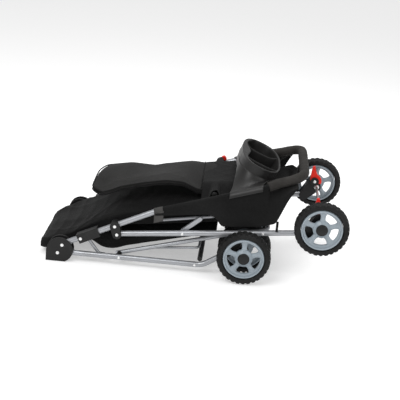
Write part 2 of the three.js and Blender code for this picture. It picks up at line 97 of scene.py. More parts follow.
def upper_z(x):
    """Height of the upper push tube's middle line."""
    return PUSH_BEND_Z + (np.asarray(x) - PUSH_BEND_X) * math.tan(GRIP_ANGLE)


def push_z(x):
    """Height of the whole push tube's middle line."""
    lower = HINGE[1] + (np.asarray(x) - HINGE[0]) * math.tan(PUSH_ANGLE)
    return np.where(np.asarray(x) < PUSH_BEND_X, lower, upper_z(x))


def rear_z(x):
    """Height of the rear leg's middle line."""
    return REAR_PIVOT[1] + (np.asarray(x) - REAR_PIVOT[0]) * math.tan(REAR_SLOPE)


def link_z(x):
    """Height of the basket link's middle line."""
    return LINK_PIVOT[1] + (np.asarray(x) - LINK_PIVOT[0]) * math.tan(LINK_SLOPE)


# ---------------------------------------------------------------- camera, light and floor
def set_stage():
    """Camera, three area lights, a pale world and a sheet of paper for a floor."""
    azimuth, elevation, roll = (math.radians(a) for a in (2.22, 19.18, 4.69))
    distance, target, lens = 3.063, np.array([0.0017, 0, 0.1578]), 94.69
    back = np.array([math.sin(azimuth) * math.cos(elevation),
                     -math.cos(azimuth) * math.cos(elevation), math.sin(elevation)])
    right = np.cross(-back, (0, 0, 1))
    right /= np.linalg.norm(right)
    up = np.cross(right, -back)
    turned_right = right * math.cos(roll) + up * math.sin(roll)
    turned_up = -right * math.sin(roll) + up * math.cos(roll)
    camera = bpy.data.objects.new("camera", bpy.data.cameras.new("camera"))
    camera.data.lens = lens
    camera.data.sensor_width = 36
    turn = np.eye(4)
    turn[:3, 0], turn[:3, 1], turn[:3, 2] = turned_right, turned_up, back
    turn[:3, 3] = target + distance * back
    camera.matrix_world = Matrix(turn.tolist())
    bpy.context.collection.objects.link(camera)
    bpy.context.scene.camera = camera

    bpy.context.scene.view_settings.view_transform = "Standard"
    world = bpy.data.worlds.new("studio")
    bpy.context.scene.world = world
    world.use_nodes = True
    world.node_tree.nodes["Background"].inputs["Color"].default_value = (1, 1, 1, 1)
    world.node_tree.nodes["Background"].inputs["Strength"].default_value = 0.55

    lights = (("key", (-1.0, -1.7, 2.3), 1.5, 36), ("fill", (1.8, -1.4, 1.2), 1.6, 14),
              ("top", (0.2, 0.7, 2.4), 1.6, 30))
    for name, place, size, power in lights:
        light = bpy.data.lights.new(name, "AREA")
        light.size, light.energy = size, power
        lamp = bpy.data.objects.new(name, light)
        lamp.matrix_world = Vector(place).to_track_quat("Z", "Y").to_matrix().to_4x4()
        lamp.location = place
        bpy.context.collection.objects.link(lamp)

    reach, floor_z = 6.0, -0.0005
    corners = np.array([[-reach, -reach, floor_z], [reach, -reach, floor_z],
                        [reach, reach, floor_z], [-reach, reach, floor_z]])
    mesh = bpy.data.meshes.new("floor")
    mesh.from_pydata(corners.tolist(), [], [(0, 1, 2, 3)])
    floor = bpy.data.objects.new("floor", mesh)
    bpy.context.collection.objects.link(floor)
    paper = bpy.data.materials.new("floor_paper")
    paper.use_nodes = True
    sheet = paper.node_tree.nodes["Principled BSDF"]
    sheet.inputs["Base Color"].default_value = (0.72, 0.72, 0.72, 1)
    sheet.inputs["Roughness"].default_value = 0.95
    sheet.inputs["Specular IOR Level"].default_value = 0.1
    sheet.inputs["Emission Color"].default_value = (1, 1, 1, 1)
    sheet.inputs["Emission Strength"].default_value = 0.42
    mesh.materials.append(paper)


# ---------------------------------------------------------------- shared shader groups
def new_group(name, inputs, outputs):
    """An empty shader group: inputs are (name, kind, default), outputs (name, kind)."""
    group = bpy.data.node_groups.new(name, "ShaderNodeTree")
    for label, kind, value in inputs:
        socket = group.interface.new_socket(label, in_out="INPUT", socket_type=kind)
        socket.default_value = value
    for label, kind in outputs:
        group.interface.new_socket(label, in_out="OUTPUT", socket_type=kind)
    return group, group.nodes.new("NodeGroupInput"), group.nodes.new("NodeGroupOutput")


def noise(tree, vector, scale, detail=3.0):
    node = tree.nodes.new("ShaderNodeTexNoise")
    node.inputs["Scale"].default_value = scale
    node.inputs["Detail"].default_value = detail
    tree.links.new(vector, node.inputs["Vector"])
    return node.outputs["Fac"]


def spread(tree, value, from_low, from_high, to_low, to_high):
    node = tree.nodes.new("ShaderNodeMapRange")
    for label, number in (("From Min", from_low), ("From Max", from_high),
                          ("To Min", to_low), ("To Max", to_high)):
        node.inputs[label].default_value = number
    tree.links.new(value, node.inputs["Value"])
    return node.outputs["Result"]


def math_node(tree, operation, *values):
    node = tree.nodes.new("ShaderNodeMath")
    node.operation = operation
    for socket, value in zip(node.inputs, values):
        if isinstance(value, (int, float)):
            socket.default_value = value
        else:
            tree.links.new(value, socket)
    return node.outputs["Value"]


def mixed(tree, factor, first, second):
    node = tree.nodes.new("ShaderNodeMix")
    node.data_type = "RGBA"
    tree.links.new(factor, node.inputs["Factor"])
    for socket, value in ((node.inputs["A"], first), (node.inputs["B"], second)):
        if isinstance(value, tuple):
            socket.default_value = value
        else:
            tree.links.new(value, socket)
    return node.outputs["Result"]


def make_wear_group():
    """Dust and handling: a blotchy colour change, a roughness change and a fine height."""
    group, enter, leave = new_group(
        "handling_wear",
        [("Vector", "NodeSocketVector", (0, 0, 0)),
         ("Colour", "NodeSocketColor", (0.5, 0.5, 0.5, 1)),
         ("Dust", "NodeSocketColor", (0.5, 0.5, 0.5, 1)), ("Amount", "NodeSocketFloat", 0.2),
         ("Roughness", "NodeSocketFloat", 0.5), ("Grain", "NodeSocketFloat", 600.0)],
        [("Colour", "NodeSocketColor"), ("Roughness", "NodeSocketFloat"),
         ("Height", "NodeSocketFloat")])
    blotch = spread(group, noise(group, enter.outputs["Vector"], 14.0, 6.0), 0.42, 0.70, 0.0, 1.0)
    factor = math_node(group, "MULTIPLY", blotch, enter.outputs["Amount"])
    colour = mixed(group, factor, enter.outputs["Colour"], enter.outputs["Dust"])
    group.links.new(colour, leave.inputs["Colour"])
    fine = spread(group, noise(group, enter.outputs["Vector"], 60.0, 4.0), 0.3, 0.7, -0.06, 0.06)
    rough = math_node(group, "ADD", enter.outputs["Roughness"], fine)
    group.links.new(rough, leave.inputs["Roughness"])
    grain = group.nodes.new("ShaderNodeTexNoise")
    group.links.new(enter.outputs["Vector"], grain.inputs["Vector"])
    group.links.new(enter.outputs["Grain"], grain.inputs["Scale"])
    grain.inputs["Detail"].default_value = 2.0
    group.links.new(grain.outputs["Fac"], leave.inputs["Height"])
    return group


def make_weave_group():
    """Plain weave: two crossed sine bands of threads, with slubs and slow fading of the dye; the raised threads
    and slubs are also painted lighter (painted highlight) and the gaps between them darker (painted shade).
    """
    group, enter, leave = new_group(
        "plain_weave",
        [("Vector", "NodeSocketVector", (0, 0, 0)),
         ("Colour", "NodeSocketColor", (0.02, 0.02, 0.02, 1)),
         ("Faded", "NodeSocketColor", (0.05, 0.05, 0.05, 1)),
         ("Threads", "NodeSocketFloat", 900.0)],
        [("Colour", "NodeSocketColor"), ("Roughness", "NodeSocketFloat"),
         ("Height", "NodeSocketFloat")])
    split = group.nodes.new("ShaderNodeSeparateXYZ")
    group.links.new(enter.outputs["Vector"], split.inputs["Vector"])
    slanted = math_node(group, "ADD", split.outputs["X"], split.outputs["Z"])
    threads_apart = enter.outputs["Threads"]
    warp = math_node(group, "SINE", math_node(group, "MULTIPLY", slanted, threads_apart))
    across = math_node(group, "SUBTRACT", split.outputs["Y"], split.outputs["Z"])
    weft = math_node(group, "SINE", math_node(group, "MULTIPLY", across, threads_apart))
    cloth = math_node(group, "MULTIPLY", warp, weft)
    slub = noise(group, enter.outputs["Vector"], 220.0, 4.0)
    height = math_node(group, "ADD", math_node(group, "MULTIPLY", cloth, 0.35), slub)
    group.links.new(height, leave.inputs["Height"])
    fading = spread(group, noise(group, enter.outputs["Vector"], 7.0, 5.0), 0.38, 0.68, 0.0, 0.8)
    # Painted highlight and shade: the higher the weave, the nearer its colour moves to the lighter colour, so
    # thread crowns and slubs are painted lit and the gaps painted shaded.
    threads = spread(group, height, 0.1, 1.0, 0.0, 0.35)
    factor = math_node(group, "ADD", fading, threads)
    colour = mixed(group, factor, enter.outputs["Colour"], enter.outputs["Faded"])
    group.links.new(colour, leave.inputs["Colour"])
    group.links.new(spread(group, slub, 0.3, 0.7, 0.78, 0.95), leave.inputs["Roughness"])
    return group


def finish_material(name, group, values, bump, bump_distance, **shader):
    """A Principled material fed by one shared group; shader's own constants sit on its sockets."""
    material = bpy.data.materials.new(name)
    material.use_nodes = True
    tree = material.node_tree
    principled = tree.nodes["Principled BSDF"]
    place = tree.nodes.new("ShaderNodeTexCoord")
    effect = tree.nodes.new("ShaderNodeGroup")
    effect.node_tree = group
    tree.links.new(place.outputs["Object"], effect.inputs["Vector"])
    for label, value in values.items():
        effect.inputs[label].default_value = value
    tree.links.new(effect.outputs["Colour"], principled.inputs["Base Color"])
    tree.links.new(effect.outputs["Roughness"], principled.inputs["Roughness"])
    relief = tree.nodes.new("ShaderNodeBump")
    relief.inputs["Strength"].default_value = bump
    relief.inputs["Distance"].default_value = bump_distance
    tree.links.new(effect.outputs["Height"], relief.inputs["Height"])
    tree.links.new(relief.outputs["Normal"], principled.inputs["Normal"])
    for label, value in shader.items():
        principled.inputs[label.replace("_", " ")].default_value = value
    return material


def grey(level, warm=0.0):
    """A colour of three equal parts, its red raised and its blue lowered by the share warm."""
    return (level * (1 + warm), level, level * (1 - warm), 1)


def make_materials():
    wear, weave = make_wear_group(), make_weave_group()

    def worn(name, colour, dust, amount, roughness, grain, bump=0.12, bump_distance=0.0004,
             **shader):
        values = {"Colour": colour, "Dust": dust, "Amount": amount, "Roughness": roughness,
                  "Grain": grain}
        return finish_material(name, wear, values, bump, bump_distance, **shader)

    def woven(name, colour, faded_and_lit, threads, bump=0.30, bump_distance=0.0006, **shader):
        values = {"Colour": colour, "Faded": faded_and_lit, "Threads": threads}
        return finish_material(name, weave, values, bump, bump_distance, **shader)

    dull = {"Specular_IOR_Level": 0.16}
    return {
        "silver_tube": worn("silver_tube", (0.34, 0.35, 0.37, 1), grey(0.25), 0.35, 0.36,
                            900.0, 0.03, Metallic=0.60, Coat_Weight=0.10, Coat_Roughness=0.3),
        "bright_steel": worn("bright_steel", grey(0.62), grey(0.45), 0.3, 0.30, 300.0, 0.01,
                             Metallic=0.9),
        "rivet_white": worn("rivet_white", grey(0.80), grey(0.6), 0.15, 0.28, 500.0, 0.02,
                            Metallic=0.3, Coat_Weight=0.3),
        "black_plastic": worn("black_plastic", grey(0.006), grey(0.016), 0.35, 0.46, 1400.0,
                              0.12, Specular_IOR_Level=0.28),
        "tray_plastic": worn("tray_plastic", grey(0.010, 0.03), grey(0.022, 0.03), 0.3, 0.42,
                             1600.0, 0.10, Specular_IOR_Level=0.34),
        "red_plastic": worn("red_plastic", (0.72, 0.020, 0.010, 1), (0.45, 0.02, 0.015, 1), 0.3,
                            0.40, 700.0, 0.04, Specular_IOR_Level=0.25),
        "wheel_plastic": worn("wheel_plastic", (0.27, 0.315, 0.35, 1), (0.20, 0.23, 0.255, 1),
                              0.35, 0.36, 800.0, 0.04, Coat_Weight=0.15, Coat_Roughness=0.25),
        "tyre_rubber": worn("tyre_rubber", grey(0.005), grey(0.018), 0.5, 0.62, 700.0, 0.20,
                            Specular_IOR_Level=0.22),
        "grip_foam": worn("grip_foam", grey(0.020, 0.08), grey(0.040, 0.08), 0.45, 0.80, 2600.0,
                          0.5, 0.0006, Specular_IOR_Level=0.2),
        "black_fabric": woven("black_fabric", grey(0.0025), grey(0.008), 2600.0,
                              Sheen_Weight=0.03, Sheen_Roughness=0.5, **dull),
        "canopy_fabric": woven("canopy_fabric", grey(0.008, 0.03), grey(0.016, 0.03), 2600.0,
                               Sheen_Weight=0.05, Sheen_Roughness=0.5, **dull),
        "cuff_mesh": woven("cuff_mesh", grey(0.030, 0.03), grey(0.070, 0.03), 1600.0,
                           Sheen_Weight=0.03, **dull),
    }


# ---------------------------------------------------------------- surfaces
def lattice(points, loop_u=False, loop_v=False):
    """Quads over a grid of points[u, v, xyz]; a looped direction closes on its first row."""
    index = np.arange(points.shape[0] * points.shape[1]).reshape(points.shape[:2])
    if loop_u:
        index = np.vstack([index, index[:1]])
    if loop_v:
        index = np.hstack([index, index[:, :1]])
    quads = np.stack([index[:-1, :-1], index[1:, :-1], index[1:, 1:], index[:-1, 1:]], -1)
    return points.reshape(-1, 3), quads.reshape(-1, 4)


def closed_loft(points):
    """A grid of rings, its two end rings closed on their middle points."""
    first = np.broadcast_to(points[:1].mean(1, keepdims=True), points[:1].shape)
    last = np.broadcast_to(points[-1:].mean(1, keepdims=True), points[-1:].shape)
    return lattice(np.concatenate([first, points, last]), loop_v=True)


def bent(corners, radius, turns=10):
    """A polyline whose inner corners turn into parabolas that start radius * tan(turn / 2) away."""
    corners = [np.asarray(c, float) for c in corners]
    route = [corners[0][None]]
    t = np.linspace(0, 1, turns + 1)[:, None]
    for before, corner, after in zip(corners, corners[1:], corners[2:]):
        into = (corner - before) / np.linalg.norm(corner - before)
        out = (after - corner) / np.linalg.norm(after - corner)
        reach = radius * math.tan(math.acos(min(1.0, float(into @ out))) / 2)
        start, end = corner - into * reach, corner + out * reach
        route.append((1 - t) ** 2 * start + 2 * t * (1 - t) * corner + t ** 2 * end)
    route.append(corners[-1][None])
    return np.concatenate(route)


def directions(route):
    """Unit tangents of a route by central differences."""
    step = np.gradient(route, axis=0)
    return step / np.linalg.norm(step, axis=1, keepdims=True)


def swept(route, radius, sides=24, up=(-0.34, 0.0, 0.94), flatten=1.0):
    """Rings carried along a route: the route plus radius times a circle across its tangent."""
    tangent = directions(route)
    across = np.cross(tangent, np.asarray(up))
    across /= np.linalg.norm(across, axis=1, keepdims=True)
    raised = np.cross(across, tangent)
    angle = np.linspace(0, 2 * math.pi, sides, endpoint=False)[None, :, None]
    size = np.broadcast_to(np.asarray(radius, float).reshape(-1, 1, 1), (len(route), 1, 1))
    ring = size * (np.cos(angle) * across[:, None] + flatten * np.sin(angle) * raised[:, None])
    return closed_loft(route[:, None] + ring)


def resampled(route, step):
    """The same route with points no further apart than step."""
    gaps = np.linalg.norm(np.diff(route, axis=0), axis=1)
    reach = np.concatenate([[0], np.cumsum(gaps)])
    count = max(2, int(reach[-1] / step) + 1)
    wanted = np.union1d(np.linspace(0, reach[-1], count), reach)
    return np.stack([np.interp(wanted, reach, route[:, k]) for k in range(3)], -1)


def turned(profile, centre, steps=96):
    """A closed profile of (radius, y) pairs turned about the Y axis through a centre."""
    profile = np.asarray(profile, float)
    angle = np.linspace(0, 2 * math.pi, steps, endpoint=False)[:, None]
    heights = np.broadcast_to(profile[:, 1], (steps, len(profile)))
    points = np.stack([profile[:, 0] * np.cos(angle), heights, profile[:, 0] * np.sin(angle)], -1)
    return lattice(points + np.asarray(centre), loop_u=True, loop_v=True)


def knob(centre, radius, height, side, steps=20):
    """A domed disc on the Y axis: radius falls with the height as a quarter of an ellipse."""
    rise = np.sin(np.linspace(0, math.pi / 2, 7))
    shrink = np.cos(np.linspace(0, math.pi / 2, 7))
    shrink[-1] = 0.02
    angle = np.linspace(0, 2 * math.pi, steps, endpoint=False)
    ring = np.stack([np.cos(angle), 0 * angle, np.sin(angle)], -1)
    points = np.asarray(centre) + radius * shrink[:, None, None] * ring[None]
    points = points + side * height * rise[:, None, None] * np.array([0, 1, 0])
    base = points[:1] - side * 0.001 * np.array([0, 1, 0])
    return closed_loft(np.concatenate([base, points]))


def joined(*meshes):
    """Several (points, faces) meshes as one."""
    points, faces, count = [], [], 0
    for p, f in meshes:
        points.append(p)
        faces.append(np.asarray(f) + count)
        count += len(p)
    return np.concatenate(points), np.concatenate(faces)


def piece(name, mesh, body, material, replaced=(), sharp=40.0, thickness=0.0, bevel=0.0):
    """A named Blender object from (points, faces), riding on a body and standing for CAD nodes."""
    points, faces = mesh
    data = bpy.data.meshes.new(name)
    data.from_pydata(points.tolist(), [], faces.tolist())
    shape = bmesh.new()
    shape.from_mesh(data)
    bmesh.ops.remove_doubles(shape, verts=shape.verts, dist=2e-6)
    bmesh.ops.recalc_face_normals(shape, faces=shape.faces)
    shape.to_mesh(data)
    shape.free()
    made = bpy.data.objects.new(name, data)
    bpy.context.collection.objects.link(made)
    data.materials.append(MATERIALS[material])
    return dressed(made, body, replaced, sharp, thickness, bevel)


def dressed(made, body, replaced, sharp, thickness, bevel):
    """Smooth shading, wall and rounded edges, and what the object rides on and stands for."""
    data = made.data
    data.polygons.foreach_set("use_smooth", np.ones(len(data.polygons), bool))
    if thickness:
        wall = made.modifiers.new("wall", "SOLIDIFY")
        wall.thickness = thickness
        wall.offset = 0
    if bevel:
        edge = made.modifiers.new("edge", "BEVEL")
        edge.width = bevel
        edge.segments = 2
        edge.limit_method = "ANGLE"
        edge.angle_limit = math.radians(sharp)
        edge.harden_normals = False
    data.set_sharp_from_angle(angle=math.radians(sharp))
    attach(made, body)
    if replaced:
        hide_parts(*replaced)
    return made


def softened(node, body, slot, bevel=0.0012, sharp=32.0):
    """A CAD node's own shape with its edges rounded, in place of the node."""
    source = frame["nodes"][node].data.copy()
    source.name = f"{node}_moulding"
    shape = bmesh.new()
    shape.from_mesh(source)
    bmesh.ops.remove_doubles(shape, verts=shape.verts, dist=1e-5)
    bmesh.ops.dissolve_limit(shape, angle_limit=math.radians(1.5), verts=shape.verts,
                             edges=shape.edges)
    shape.to_mesh(source)
    shape.free()
    source.materials.clear()
    source.materials.append(MATERIALS[slot])
    made = bpy.data.objects.new(f"{node}_moulding", source)
    bpy.context.collection.objects.link(made)
    return dressed(made, body, [node], sharp, 0.0, bevel)


def smooth_steps(values, low_edge, high_edge):
    """The cubic 3t^2 - 2t^3 from 0 at one edge to 1 at the other."""
    t = np.clip((values - low_edge) / (high_edge - low_edge), 0, 1)
    return t * t * (3 - 2 * t)


def squarish(value, power):
    """A sine or cosine raised to a power with its sign kept: below 1 it squares a circle."""
    return np.sign(value) * np.abs(value) ** power


def through(x, stations, window=0.018):
    """A curve through (x, value) stations: linear between them, averaged over a short window."""
    known = np.array(stations, float)
    shifts = np.linspace(-window, window, 9)
    return np.mean([np.interp(x + d, known[:, 0], known[:, 1]) for d in shifts], axis=0)


def crumple(x, y, z, length, seed):
    """Soft creases of about -1 to 1: warped sine waves of different slant with sharp crests."""
    total = 0
    for k in range(4):
        slant = seed * 1.7 + k * 1.9
        cosine, sine = math.cos(slant), math.sin(slant)
        warp = 0.9 * np.sin((x * sine + y * cosine) / length * 1.3 + seed + k)
        wave = np.sin((x * cosine + y * sine * 0.8 + z * 0.7) / length * (1.6 + 0.9 * k)
                      + warp + 2.1 * seed * k)
        total = total + (1 - 2 * np.sqrt(np.abs(wave))) / (1.3 + 0.8 * k)
    return total / 2.2


# ---------------------------------------------------------------- frame tubes
def at(x, y, z):
    return np.array([x, y, z])


def leaning(point, angle, distance):
    """The point a distance along a line that leans by an angle in the side view."""
    return point + distance * np.array([math.cos(angle), 0, math.sin(angle)])


def make_tubes():
    """Every bent tube and wire of the frame, and the foam handle on the push tube."""
    for side, s in SIDES:
        y = s * LEG_Y
        knee = at(KNEE_X, y, LOW_TUBE_Z)
        front = bent([at(low(f"front_leg_{side}")[0], y, LOW_TUBE_Z), knee,
                      leaning(knee, CASTER_TILT, CASTER_LENGTH)], KNEE_BEND)
        piece(f"front_leg_tube_{side}", swept(front, TUBE / 2, up=(0, 1, 0)),
              "front_frame", "silver_tube", [f"front_leg_{side}"])
        top = at(REAR_PIVOT[0], y, REAR_PIVOT[1])
        rear = np.linspace(leaning(top, REAR_SLOPE, -0.007),
                           leaning(top, REAR_SLOPE, REAR_LENGTH), 4)
        piece(f"rear_leg_tube_{side}", swept(rear, TUBE / 2, up=(0, 1, 0)),
              "rear_frame", "silver_tube", [f"rear_leg_{side}"])
    cross = middle("front_cross_tube")
    reach = high("front_cross_tube")[1]
    bar = np.array([[cross[0], -reach, cross[2]], [cross[0], reach, cross[2]]])
    piece("front_cross_bar", swept(resampled(bar, 0.1), CROSS_RADIUS, up=(0, 0, 1)),
          "front_frame", "black_plastic", ["front_cross_tube"])

    def on_upper(x, s):
        lean = np.clip((x - LEAN_START_X) / (LEAN_END_X - LEAN_START_X), 0, 1)
        return np.array([x, s * (LEG_Y + lean * (HANDLE_Y - LEG_Y)), float(upper_z(x))])

    def loop(start):
        half = lambda s: [on_upper(x, s) for x in (start, LEAN_END_X, HANDLE_X)]
        return half(-1) + half(1)[::-1]

    lower = lambda s: [at(HINGE[0], s * LEG_Y, HINGE[1]),
                       at(PUSH_BEND_X, s * LEG_Y, PUSH_BEND_Z)]
    route = bent(lower(-1) + loop(LEAN_START_X) + lower(1)[::-1], HANDLE_BEND)
    piece("push_tube_bent", swept(route, TUBE / 2), "push_frame", "silver_tube", ["push_tube"])

    grip = resampled(bent(loop(GRIP_START_X), HANDLE_BEND, 16), 0.003)
    gone = np.linalg.norm(np.diff(grip, axis=0), axis=1)
    reach = np.concatenate([[0], np.cumsum(gone)])
    from_end = np.minimum(reach, reach[-1] - reach)
    rounding = 0.0062 * np.clip(1 - from_end / 0.005, 0, 1) ** 2
    lumps = 0.00025 * np.sin(reach / 0.011) + 0.0002 * np.sin(reach / 0.0043 + 1)
    piece("foam_handle", swept(grip, GRIP / 2 - rounding + lumps, sides=40),
          "push_frame", "grip_foam", ["foam_grip"])

    tail = at(0.202, 0, 0.139)
    foot = leaning(at(LINK_PIVOT[0], 0, LINK_PIVOT[1]), LINK_SLOPE, -0.011)
    shoulder = leaning(at(LINK_PIVOT[0], 0, LINK_PIVOT[1]), LINK_SLOPE, LINK_LENGTH)
    arm = lambda s: [p + np.array([0, s * LINK_Y, 0]) for p in (foot, shoulder, tail)]
    piece("basket_link_tube", swept(bent(arm(-1) + arm(1)[::-1], 0.026), LINK_RADIUS),
          "basket_frame", "silver_tube", ["basket_link"])
    hoop_y = LINK_Y - LINK_RADIUS - HOOP_RADIUS - 0.0003
    hoop = [at(-0.146, -hoop_y, float(link_z(-0.146))), at(0.015, -hoop_y, 0.066)]
    hoop += [p * np.array([1, -1, 1]) for p in hoop[::-1]]
    piece("basket_hoop_wire", swept(bent(hoop, 0.014), HOOP_RADIUS, sides=16),
          "basket_frame", "silver_tube", ["basket_hoop"])
    rail = [at(-0.112, -RAIL_Y, 0.136), at(0.056, -RAIL_Y, 0.165)]
    rail += [p * np.array([1, -1, 1]) for p in rail[::-1]]
    piece("floor_rail_tube", swept(bent(rail, 0.016), WIRE_RADIUS, sides=18),
          "floor_frame", "silver_tube", ["floor_rail"])
    latch = ((-0.306, 0.076), (-0.290, 0.054), (-0.266, 0.024), (-0.248, 0.022))
    for side, s in SIDES:
        hook = bent([at(x, s * LATCH_Y, z) for x, z in latch], 0.010)
        piece(f"storage_latch_rod_{side}", swept(hook, WIRE_RADIUS, sides=18, up=(0, 1, 0)),
              f"storage_latch_{side}", "silver_tube", [f"storage_latch_{side}"])


# ---------------------------------------------------------------- moulded plastic and hardware
def place_rod(node, body, radius):
    """A round rod along Y over a CAD pin's own length."""
    start, end = low(node), high(node)
    x, z = middle(node)[[0, 2]]
    route = resampled(np.array([[x, start[1], z], [x, end[1], z]]), 0.05)
    piece(f"{node}_rod", swept(route, radius, 20, up=(0, 0, 1)), body, "bright_steel", [node])


def make_mouldings():
    """CAD shapes with rounded edges, and the bright pins and axles that go through them."""
    bodies = {"front_frame": ["hinge_housing", "caster_socket", "link_pin"],
              "push_frame": ["lock_sleeve", "pivot_bracket", "canopy_pivot"],
              "rear_frame": ["axle_bracket"]}
    for body, names in bodies.items():
        for name in names:
            for side, _ in SIDES:
                softened(f"{name}_{side}", body, "black_plastic")
    for side, _ in SIDES:
        softened(f"caster_fork_{side}", f"caster_{side}", "black_plastic")
        softened(f"brake_lever_{side}", f"brake_lever_{side}", "red_plastic")
        softened(f"floor_strut_{side}", "rear_frame", "silver_tube", bevel=0.0006)
        place_rod(f"hinge_pin_{side}", "front_frame", PIN_RADIUS)
        place_rod(f"rear_pivot_pin_{side}", "push_frame", PIN_RADIUS)
        place_rod(f"caster_axle_{side}", f"caster_{side}", AXLE_RADIUS)
    softened("release_lever", "release_lever", "red_plastic")
    place_rod("rear_axle", "rear_frame", AXLE_RADIUS)


def make_rivets():
    """Domed rivet heads on both faces of each joint, on the body whose plate they hold."""
    spots = [("front_frame", "hinge", HINGE, 0.0130, 0.0048),
             ("front_frame", "heel", (-0.378, LOW_TUBE_Z), 0.0130, 0.0048),
             ("push_frame", "sleeve", (-0.315, float(push_z(-0.315)) - 0.001), 0.0120, 0.0046),
             ("push_frame", "bracket_top", (-0.221, float(push_z(-0.221))), 0.0130, 0.0046),
             ("push_frame", "bracket_low", REAR_PIVOT, 0.0130, 0.0046),
             ("front_frame", "link", (LINK_PIVOT[0], LOW_TUBE_Z), 0.0080, 0.0036),
             ("front_frame", "leg", (KNEE_X - 0.02, LOW_TUBE_Z), 0.0080, 0.0036),
             ("rear_frame", "strut", (-0.033, float(rear_z(-0.033))), 0.0080, 0.0036),
             ("rear_frame", "link_top", (0.189, float(rear_z(0.189))), 0.0080, 0.0036)]
    for body, name, (x, z), half, radius in spots:
        for side, s in SIDES:
            heads = joined(knob((x, s * (LEG_Y + half), z), radius, radius * 0.55, s),
                           knob((x, s * (LEG_Y - half), z), radius, 0.0004, -s))
            piece(f"rivet_{name}_{side}", heads, body, "rivet_white")
    cheek = LEG_Y - 0.013
    cap = high("axle_bracket_left")[1]
    for side, s in SIDES:
        axle = (REAR_AXLE[0], s * cheek, REAR_AXLE[1])
        pivot = (BRAKE_PIVOT[0], s * abs(cap), BRAKE_PIVOT[1])
        heads = joined(knob(axle, 0.0078, 0.0042, -s), knob(pivot, 0.0046, 0.0026, -s))
        piece(f"axle_bracket_bolts_{side}", heads, "rear_frame", "rivet_white")


# ---------------------------------------------------------------- wheels
def make_tyre(name, centre, body):
    """A ring whose radius follows a rounded section, with square blocks between grooves."""
    half = WHEEL_WIDTH / 2
    around = np.linspace(0, 2 * math.pi, 288, endpoint=False)[:, None]
    turn = np.linspace(0, 2 * math.pi, 44, endpoint=False)[None, :]
    bulge = np.cos(turn)
    y = half * squarish(np.sin(turn), 0.75)
    inner, outer = RIM_RADIUS + 0.0006, WHEEL_RADIUS
    radius = inner + (outer - inner) * (0.5 + 0.5 * squarish(bulge, 0.42))
    crown = smooth_steps(radius, outer - 0.007, outer - 0.004)
    row = np.where(np.abs(y) < half * 0.36, 0.0, 1.0)
    phase = around * 30 + row * math.pi + np.sign(y) * 0.4
    blocks = smooth_steps(np.sin(phase), -0.45, -0.15)
    lane = smooth_steps(np.abs(np.abs(y) - half * 0.38), 0.0004, 0.0012)
    depth = 0.0026 * crown * (1 - blocks * lane)
    ribs = 0.0006 * np.exp(-((radius - (inner + 0.006)) / 0.0012) ** 2)
    radius = radius - depth
    y = y + np.sign(y) * ribs * 0.4 + 0 * around
    points = np.stack([radius * np.cos(around), np.broadcast_to(y, radius.shape),
                       radius * np.sin(around)], -1)
    piece(f"{name}_tread", lattice(points + centre, loop_u=True, loop_v=True), body, "tyre_rubber",
          [f"{name}_tyre"], sharp=50)


def spoke(centre, angle, plane, thickness):
    """A bar from hub to ring: a rounded box with a ridge, wider as a power towards both ends."""
    reach = np.linspace(0.014, 0.0485, 22)[:, None]
    waist = 0.0068 + 0.0072 * np.clip((reach - 0.033) / 0.0155, 0, 1) ** 2.2 \
        + 0.0045 * np.clip((0.030 - reach) / 0.013, 0, 1) ** 1.5
    around = np.linspace(0, 2 * math.pi, 28, endpoint=False)[None, :]
    across = waist * squarish(np.cos(around), 0.55)
    out = thickness * squarish(np.sin(around), 0.6)
    ridge = 0.0022 * np.exp(-(across / (waist * 0.42)) ** 2) * np.sign(out)
    y = plane + out + ridge
    x = reach * math.cos(angle) - across * math.sin(angle)
    z = reach * math.sin(angle) + across * math.cos(angle)
    return closed_loft(np.stack(np.broadcast_arrays(x, y, z), -1) + centre)


def make_rim(name, centre, body, s):
    """Flanged barrel, five ridged spokes, hub, bolts and a black cap on the outer face."""
    lip = 0.0125
    barrel = [(0.0, lip), (0.0016, lip + 0.0022), (0.004, lip + 0.0020), (0.0055, lip - 0.001),
              (0.0062, 0.0068), (0.0105, 0.0052), (0.0115, 0.0030)]
    ring = [(RIM_RADIUS, -lip)] + [(RIM_RADIUS - inset, y) for inset, y in barrel]
    ring += [(RIM_RADIUS - inset, -y) for inset, y in barrel[:0:-1]]
    flange = [(0.0045, 0.0150), (0.0120, 0.0150), (0.0150, 0.0100), (0.0240, 0.0050),
              (0.0250, 0.0030)]
    hub = [(radius, -y) for radius, y in flange] + flange[::-1]
    angles = [math.radians(90 + 72 * k) for k in range(5)]
    spokes = [spoke(centre, a, 0.0, 0.0036) for a in angles]
    bolts = [knob(centre + np.array([0.0195 * math.cos(a), d * 0.0062, 0.0195 * math.sin(a)]),
                  0.0034, 0.0022, d)
             for a in angles for d in (-1, 1)]
    piece(f"{name}_spoked", joined(turned(ring, centre), turned(hub, centre, 60), *spokes, *bolts),
          body, "wheel_plastic", [f"{name}_rim"], sharp=38)
    caps = joined(knob(centre + np.array([0, s * 0.0125, 0]), 0.0164, 0.0048, s, 40),
                  knob(centre + np.array([0, -s * 0.0135, 0]), 0.0100, 0.0020, -s, 32))
    piece(f"{name}_hub_cap", caps, body, "black_plastic")


def make_wheels():
    names = [(f"rear_wheel_{side}", s) for side, s in SIDES]
    names += [(f"front_wheel_{side}_{place}", s if place == "outer" else -s)
              for side, s in SIDES for place in ("outer", "inner")]
    for name, s in names:
        centre = middle(f"{name}_rim")
        make_tyre(name, centre, name)
        make_rim(name, centre, name, s)


# ---------------------------------------------------------------- cup tray
def oval(count, half_width, half_length):
    """A superellipse outline as an (n, 2) array of x, y."""
    angle = np.linspace(0, 2 * math.pi, count, endpoint=False)
    power = 2 / TRAY_ROUNDNESS
    return np.stack([half_length * squarish(np.cos(angle), power),
                     half_width * squarish(np.sin(angle), power)], -1)


